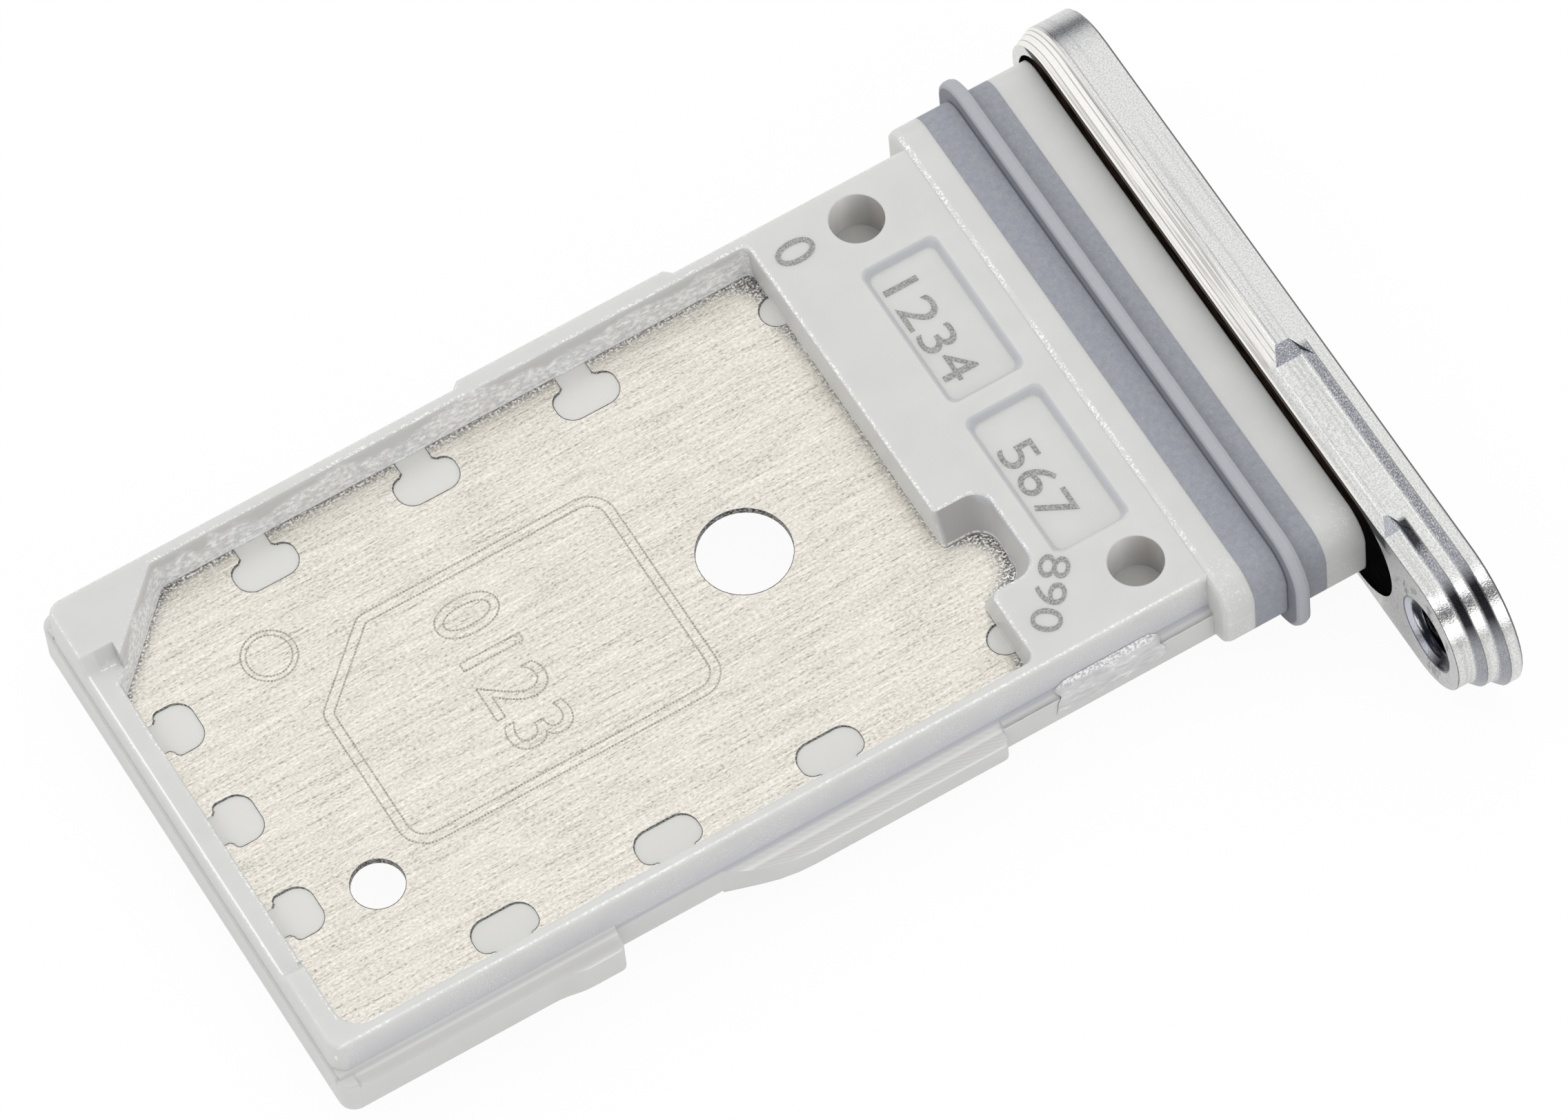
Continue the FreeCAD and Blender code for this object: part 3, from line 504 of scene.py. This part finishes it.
def line_material(name, dark, pale):
    """Speckled marks, seams and engraved lines."""
    material, tree, shader = new_material(name, {"Roughness": 0.6})
    speckle = noise(tree, 34.0, detail=2.0, roughness=0.6)
    tree.links.new(ramp(tree, speckle, [(0.40, dark), (0.62, pale)]), shader.inputs["Base Color"])
    tree.links.new(bump(tree, speckle, 0.003), shader.inputs["Normal"])
    return material


def scar_material():
    """Torn plastic: a painted highlight with sparkle along its upper crease, over a mottled skin below it."""
    material, tree, shader = new_material("gate_scar", {"Roughness": 0.26})
    x, y, z = axes(tree, place_in_mm(tree))
    creases = noise(tree, 6.0, (0.6, 1.0, 1.6), detail=4.0, roughness=0.6)
    skin = ramp(tree, creases, [(0.36, (0.57, 0.575, 0.585)), (0.50, (0.665, 0.665, 0.665)), (0.60, (0.72, 0.72, 0.715)),
                                (0.66, (0.90, 0.90, 0.90))])
    # Painted highlight: bright sparkle on the upper crease.
    sparkle = ramp(tree, noise(tree, 22.0, detail=3.0), [(0.44, (0.58, 0.58, 0.59)), (0.56, (1.0, 1.0, 1.0))])
    upper = band(tree, calculate(tree, "MULTIPLY_ADD", creases, 0.16, z), SCAR_BRIGHT + 0.08, 5.0, 0.02)
    tree.links.new(blend(tree, upper, skin, sparkle), shader.inputs["Base Color"])
    tree.links.new(bump(tree, creases, 0.018), shader.inputs["Normal"])
    return material


def floor_material():
    """White floor: it keeps a faint shadow for the eye, and lights the object as plain white card."""
    material = bpy.data.materials.new("floor_white")
    material.use_nodes = True
    tree = material.node_tree
    tree.nodes.clear()
    path = add_node(tree, "ShaderNodeLightPath", {}, {})
    gloss = multiply(tree, path.outputs["Is Glossy Ray"], FLOOR_GLOSS)
    seen = calculate(tree, "MAXIMUM", path.outputs["Is Camera Ray"],
                     calculate(tree, "MAXIMUM", gloss, path.outputs["Is Transmission Ray"]))
    card = add_node(tree, "ShaderNodeBsdfDiffuse", {}, {"Color": (0.9, 0.9, 0.9, 1)})
    faint = add_node(tree, "ShaderNodeBsdfDiffuse", {}, {"Color": (1 - FLOOR_GLOW,) * 3 + (1,)})
    glow = add_node(tree, "ShaderNodeEmission", {}, {"Color": (1, 1, 1, 1), "Strength": FLOOR_GLOW})
    shown = add_node(tree, "ShaderNodeAddShader", {}, {0: faint.outputs[0], 1: glow.outputs[0]})
    mixed = add_node(tree, "ShaderNodeMixShader", {}, {0: seen, 1: card.outputs[0], 2: shown.outputs[0]})
    add_node(tree, "ShaderNodeOutputMaterial", {}, {"Surface": mixed.outputs[0]})
    return material


def make_world():
    """Even white surroundings, which light the object more softly than they look."""
    world = bpy.data.worlds.new("studio")
    bpy.context.scene.world = world
    world.use_nodes = True
    tree = world.node_tree
    tree.nodes.clear()
    path = add_node(tree, "ShaderNodeLightPath", {}, {})
    seen = calculate(tree, "MAXIMUM", path.outputs["Is Camera Ray"],
                     calculate(tree, "MAXIMUM", path.outputs["Is Glossy Ray"], path.outputs["Is Transmission Ray"]))
    strength = calculate(tree, "MULTIPLY_ADD", seen, 1.0 - WORLD_DIFFUSE, WORLD_DIFFUSE)
    glow = add_node(tree, "ShaderNodeBackground", {}, {"Color": (1, 1, 1, 1), "Strength": strength})
    add_node(tree, "ShaderNodeOutputWorld", {}, {"Surface": glow.outputs[0]})


def face_tray(thing, direction):
    """Put a lamp or a card in a direction from the tray, facing it."""
    thing.location = Vector(direction).normalized() * LIGHT_DISTANCE * MM
    thing.rotation_mode = "QUATERNION"
    thing.rotation_quaternion = (-thing.location).to_track_quat("-Z", "Y")


def make_light(name, direction, width, height, radiance, glossy=True):
    """Soft rectangular light of an even brightness that faces the tray."""
    lamp = bpy.data.lights.new(name, "AREA")
    lamp.shape = "RECTANGLE"
    lamp.size = width * MM
    lamp.size_y = height * MM
    lamp.energy = radiance * math.pi * lamp.size * lamp.size_y
    holder = bpy.data.objects.new(name, lamp)
    holder.visible_glossy = glossy
    bpy.context.scene.collection.objects.link(holder)
    face_tray(holder, direction)


def make_dark_card(name, direction, width, height, shade):
    """Dark card that only reflections show, as a studio uses to draw the edges of bright metal."""
    material = bpy.data.materials.new(name)
    material.use_nodes = True
    tree = material.node_tree
    tree.nodes.clear()
    glow = add_node(tree, "ShaderNodeEmission", {}, {"Color": (shade, shade, shade * 1.15, 1)})
    add_node(tree, "ShaderNodeOutputMaterial", {}, {"Surface": glow.outputs[0]})
    x = width / 2 * MM
    y = height / 2 * MM
    mesh = bpy.data.meshes.new(name)
    mesh.from_pydata([(-x, -y, 0), (x, -y, 0), (x, y, 0), (-x, y, 0)], [], [(0, 1, 2, 3)])
    mesh.materials.append(material)
    card = bpy.data.objects.new(name, mesh)
    card.visible_camera = False
    card.visible_diffuse = False
    card.visible_shadow = False
    bpy.context.scene.collection.objects.link(card)
    face_tray(card, direction)


def make_camera():
    """Long-lens camera at the photograph's place and tilt."""
    azimuth = math.radians(CAMERA_AZIMUTH)
    elevation = math.radians(CAMERA_ELEVATION)
    back = Vector((math.sin(azimuth) * math.cos(elevation), -math.cos(azimuth) * math.cos(elevation),
                   math.sin(elevation)))
    level = Vector((math.cos(azimuth), math.sin(azimuth), 0))
    turned = Matrix((level, back.cross(level), back)).transposed().to_4x4()
    data = bpy.data.cameras.new("camera")
    data.sensor_fit = "HORIZONTAL"
    data.sensor_width = SENSOR_WIDTH
    data.lens = CAMERA_LENS
    data.clip_start = 0.01
    data.clip_end = 10.0
    camera = bpy.data.objects.new("camera", data)
    camera.matrix_world = (Matrix.Translation(Vector(CAMERA_PLACE) * MM) @ turned
                           @ Matrix.Rotation(math.radians(CAMERA_ROLL), 4, "Z"))
    bpy.context.scene.collection.objects.link(camera)
    bpy.context.scene.camera = camera


def make_floor(material):
    """Wide white floor under the tray."""
    half = 1.2
    mesh = bpy.data.meshes.new("floor")
    mesh.from_pydata([(-half, -half, 0), (half, -half, 0), (half, half, 0), (-half, half, 0)], [], [(0, 1, 2, 3)])
    mesh.materials.append(material)
    floor = bpy.data.objects.new("floor", mesh)
    bpy.context.scene.collection.objects.link(floor)


def paint(node, material):
    """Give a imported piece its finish."""
    mesh = node.data
    mesh.materials.clear()
    mesh.materials.append(material)


def make_piece(name, points, faces, material, slot):
    """New piece that rides on the tray, from points in millimetres."""
    mesh = bpy.data.meshes.new(name)
    mesh.from_pydata([Vector(point) * MM for point in points], [], faces)
    mesh.materials.append(material)
    piece = bpy.data.objects.new(name, mesh)
    bpy.context.scene.collection.objects.link(piece)
    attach(piece, "root")
    return piece


def rounded_loop(corners, inset):
    """Closed path through corners given as (x, y, radius), set in from them, with an arc at each."""
    path = []
    for i, (x, y, radius) in enumerate(corners):
        here = Vector((x, y))
        to_last = (Vector(corners[i - 1][:2]) - here).normalized()
        to_next = (Vector(corners[(i + 1) % len(corners)][:2]) - here).normalized()
        inward = (to_last + to_next).normalized()
        half_angle = to_last.angle(to_next) / 2
        here = here + inward * (inset / math.sin(half_angle))
        bend = max(radius - inset, 0.05)
        centre = here + inward * (bend / math.sin(half_angle))
        start = here + to_last * (bend / math.tan(half_angle)) - centre
        sweep = (math.pi - 2 * half_angle) / ARC_STEPS
        for step in range(ARC_STEPS + 1):
            turn = Matrix.Rotation(sweep * step, 2)
            path.append(centre + turn @ start)
    return path


def circle(centre, radius):
    """Closed round path."""
    steps = ARC_STEPS * 6
    return [Vector(centre) + Vector((math.cos(2 * math.pi * i / steps), math.sin(2 * math.pi * i / steps))) * radius
            for i in range(steps)]


def dashes_along(path, dash, gap, width, height):
    """Short flat strokes laid end to end along a closed path at one height."""
    points = []
    faces = []
    ends = [0.0]
    for i in range(len(path)):
        ends.append(ends[-1] + (path[(i + 1) % len(path)] - path[i]).length)
    count = max(int(ends[-1] / (dash + gap)), 1)
    pitch = ends[-1] / count
    leg = 0
    for i in range(count):
        middle = pitch * (i + 0.5)
        while leg < len(path) - 1 and ends[leg + 1] < middle:
            leg += 1
        start = path[leg]
        along = path[(leg + 1) % len(path)] - start
        if along.length < 1e-9:
            continue
        along.normalize()
        centre = start + along * (middle - ends[leg])
        across = Vector((-along.y, along.x)) * (width / 2)
        reach = along * (pitch * dash / (dash + gap) / 2)
        first = len(points)
        for corner in (centre - reach - across, centre + reach - across, centre + reach + across,
                       centre - reach + across):
            points.append((corner.x, corner.y, height))
        faces.append((first, first + 1, first + 2, first + 3))
    return points, faces


def join_parts(parts):
    """Points and faces of several flat parts as one list of each."""
    points = []
    faces = []
    for part_points, part_faces in parts:
        first = len(points)
        points.extend(part_points)
        faces.extend(tuple(first + i for i in face) for face in part_faces)
    return points, faces


def number_mesh(text, centre, direction, length, height):
    """Flat digits fitted to a length and a height, as points in the plane and faces."""
    curve = bpy.data.curves.new("digits", "FONT")
    curve.body = text
    curve.resolution_u = 6
    holder = bpy.data.objects.new("digits", curve)
    bpy.context.scene.collection.objects.link(holder)
    mesh = bpy.data.meshes.new_from_object(holder)
    xs = [v.co.x for v in mesh.vertices]
    ys = [v.co.y for v in mesh.vertices]
    turn = Matrix.Rotation(math.radians(direction), 2)
    points = []
    for vertex in mesh.vertices:
        u = ((vertex.co.x - min(xs)) / (max(xs) - min(xs)) - 0.5) * length
        v = ((vertex.co.y - min(ys)) / (max(ys) - min(ys)) - 0.5) * height
        points.append(Vector(centre) + turn @ Vector((u, v)))
    faces = [tuple(face.vertices) for face in mesh.polygons]
    bpy.data.objects.remove(holder)
    bpy.data.curves.remove(curve)
    bpy.data.meshes.remove(mesh)
    return points, faces


def outer_loops(points, faces):
    """Closed paths round a flat mesh, from the edges that only one face uses."""
    following = {}
    for face in faces:
        for i in range(len(face)):
            following[(face[i], face[(i + 1) % len(face)])] = True
    rim = {a: b for a, b in following if (b, a) not in following}
    loops = []
    while rim:
        start = next(iter(rim))
        loop = [start]
        here = rim.pop(start)
        while here != start and here in rim:
            loop.append(here)
            here = rim.pop(here)
        loops.append([points[i] for i in loop])
    return loops


def make_plate_marks(material):
    """Dashed double outline of a card, the ring beside it and the number inside it."""
    height = PLATE_TOP + MARK_LIFT
    outline = [dashes_along(rounded_loop(OUTLINE_CORNERS, inset), MARK_DASH, MARK_GAP, MARK_LINE, height)
               for inset in (0, MARK_SPACING)]
    make_piece("card_outline_mark", *join_parts(outline), material, "brushed_plate")
    rings = [dashes_along(circle(RING_PLACE, radius), MARK_DASH, MARK_GAP, MARK_LINE, height)
             for radius in (RING_RADIUS, RING_INNER_RADIUS)]
    make_piece("ring_mark", *join_parts(rings), material, "brushed_plate")
    loops = outer_loops(*number_mesh(*PLATE_NUMBER))
    strokes = [dashes_along(loop, MARK_DASH, MARK_GAP, MARK_LINE, height) for loop in loops]
    make_piece("plate_number", *join_parts(strokes), material, "brushed_plate")


def make_head_numbers(material):
    """Laser-marked numbers on the head and in its two recesses."""
    for name, text, centre, direction, length, height, level in HEAD_NUMBERS:
        points, faces = number_mesh(text, centre, direction, length, height)
        make_piece(name, [(p.x, p.y, level + MARK_LIFT) for p in points], faces, material, "white_plastic")


def shared_edges(mesh):
    """Faces that meet at each edge of a mesh at the plate's upper level, found by where its ends lie."""
    ends = [tuple(round(c / MM, 3) for c in vertex.co) for vertex in mesh.vertices]
    meeting = {}
    for face in mesh.polygons:
        for first, second in face.edge_keys:
            pair = tuple(sorted((ends[first], ends[second])))
            if pair[0] != pair[1] and all(abs(end[2] - PLATE_TOP) < 0.003 for end in pair):
                meeting.setdefault(pair, []).append(face)
    return meeting


def strip(first, second, outward, inner, outer):
    """Flat strip along an edge, reaching out by one width and back by the other."""
    along = (second - first).normalized()
    across = Vector((-along.y, along.x, 0))
    if across.dot(outward) < 0:
        across.negate()
    lift = Vector((0, 0, SEAM_LIFT))
    corners = [first - across * inner + lift, second - across * inner + lift,
               second + across * outer + lift, first + across * outer + lift]
    return [tuple(corner) for corner in corners], [(0, 1, 2, 3)]


def in_pocket(place):
    """Whether a face's centre lies in the upper pocket or its scoop."""
    return POCKET_TIP - 0.05 < place.x < POCKET_HEAD + 1.2 and abs(place.y - MIDDLE_Y) < POCKET_HALF + 0.05


def at_hole(place):
    """Whether a place on the plate lies on the edge of one of its round holes."""
    return any((Vector(centre) - place.xy).length < radius + 0.05 for centre, radius in PLATE_HOLES)


def make_seams(plate, material):
    """Fine dark gaps between the plate and its pads, with a painted shadow that widens them on the pads' far sides,
    and round its holes.
    """
    parts = []
    for (first, second), faces in shared_edges(plate.data).items():
        sides = [face for face in faces if abs(face.normal.z) < 0.3 and in_pocket(face.center / MM)]
        if not sides or len(faces) < 2:
            continue
        first = Vector(first)
        second = Vector(second)
        outward = sides[0].normal
        if at_hole((first + second) / 2):
            parts.append(strip(first, second, outward, SEAM_WIDTH, 0))
        else:
            # Painted shadow: the gap widens on the pads' far sides.
            shaded = SEAM_SHADE_WIDTH * max(0.0, -outward.y)
            parts.append(strip(first, second, outward, SEAM_WIDTH / 2, SEAM_WIDTH / 2 + shaded))
    make_piece("plate_seams", *join_parts(parts), material, "brushed_plate")


def make_gate_scar(material):
    """Thin torn skin of plastic from the near wall down over the foot, with ragged edges."""
    columns = 60
    rows = len(SCAR_SECTION)
    points = []
    faces = []
    for i in range(columns + 1):
        share = i / columns
        ragged = 0.86 + 0.09 * math.sin(share * 23) + 0.05 * math.sin(share * 61 + 1)
        for j, (y, z) in enumerate(SCAR_SECTION):
            down = j / (rows - 1)
            lean = 0.06 * math.sin(down * 4) + 0.02 * math.sin(down * 13 + 2)
            x = SCAR_START + (SCAR_END - SCAR_START) * share + lean * (1 - 2 * share)
            swell = math.sin(math.pi * down) * min(1.0, min(share, 1 - share) * 14)
            ripple = 0.5 + 0.5 * math.sin(share * 47 + down * 5) * math.cos(share * 19 - down * 7)
            low = SCAR_SECTION[4][1]
            taper = min(1.0, 0.15 + min(share, 1 - share) * 9)
            height = low + (z - low) * (taper if z > low else ragged)
            points.append((x, y - SCAR_RIPPLE * swell * ripple, height))
    for i in range(columns):
        for j in range(rows - 1):
            first = i * rows + j
            faces.append((first, first + 1, first + rows + 1, first + rows))
    piece = make_piece("gate_scar", points, faces, material, "white_plastic")
    for face in piece.data.polygons:
        face.use_smooth = True


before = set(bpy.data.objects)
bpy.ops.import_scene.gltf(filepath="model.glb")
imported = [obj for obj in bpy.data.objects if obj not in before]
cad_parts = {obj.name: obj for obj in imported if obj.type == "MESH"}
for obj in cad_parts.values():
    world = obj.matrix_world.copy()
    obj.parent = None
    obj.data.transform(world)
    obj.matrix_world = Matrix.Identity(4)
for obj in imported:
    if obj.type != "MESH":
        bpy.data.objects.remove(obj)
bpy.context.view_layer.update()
finishes = {"tray_body": white_plastic(), "card_plate": brushed_plate(), "seal_ring": grey_silicone(),
            "front_bezel": silver_bezel(), "bezel_gasket": black_gasket()}
for name, finish in finishes.items():
    paint(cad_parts[name], finish)
make_plate_marks(line_material("plate_mark", (0.27, 0.24, 0.205), (0.66, 0.62, 0.55)))
make_head_numbers(line_material("laser_grey", (0.23, 0.23, 0.23), (0.46, 0.46, 0.45)))
make_seams(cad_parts["card_plate"], line_material("dark_gap", (0.02, 0.02, 0.02), (0.29, 0.28, 0.26)))
make_gate_scar(scar_material())
bpy.context.scene.view_settings.view_transform = "Standard"
make_world()
make_floor(floor_material())
make_light("key", (0.25, 0.55, 0.80), 260, 260, 0.9, glossy=False)
make_light("left_strip", (-0.46, 0.45, 0.75), 60, 150, 6.0)
make_light("top_strip", (0.20, -0.20, 0.955), 90, 45, 6.0)
make_light("near_strip", (0.20, -0.84, 0.50), 200, 150, 1.2)
make_dark_card("overhead_card", (0.20, -0.58, 0.79), 260, 90, 0.05)
make_dark_card("upper_card", (0.21, -0.37, 0.905), 200, 60, 0.35)
make_dark_card("left_card", (-0.98, -0.10, 0.12), 170, 90, 0.03)
make_dark_card("near_card", (0.20, -0.97, 0.08), 260, 26, 0.10)
make_dark_card("far_card", (0.20, 0.95, 0.20), 150, 140, 0.12)
make_camera()
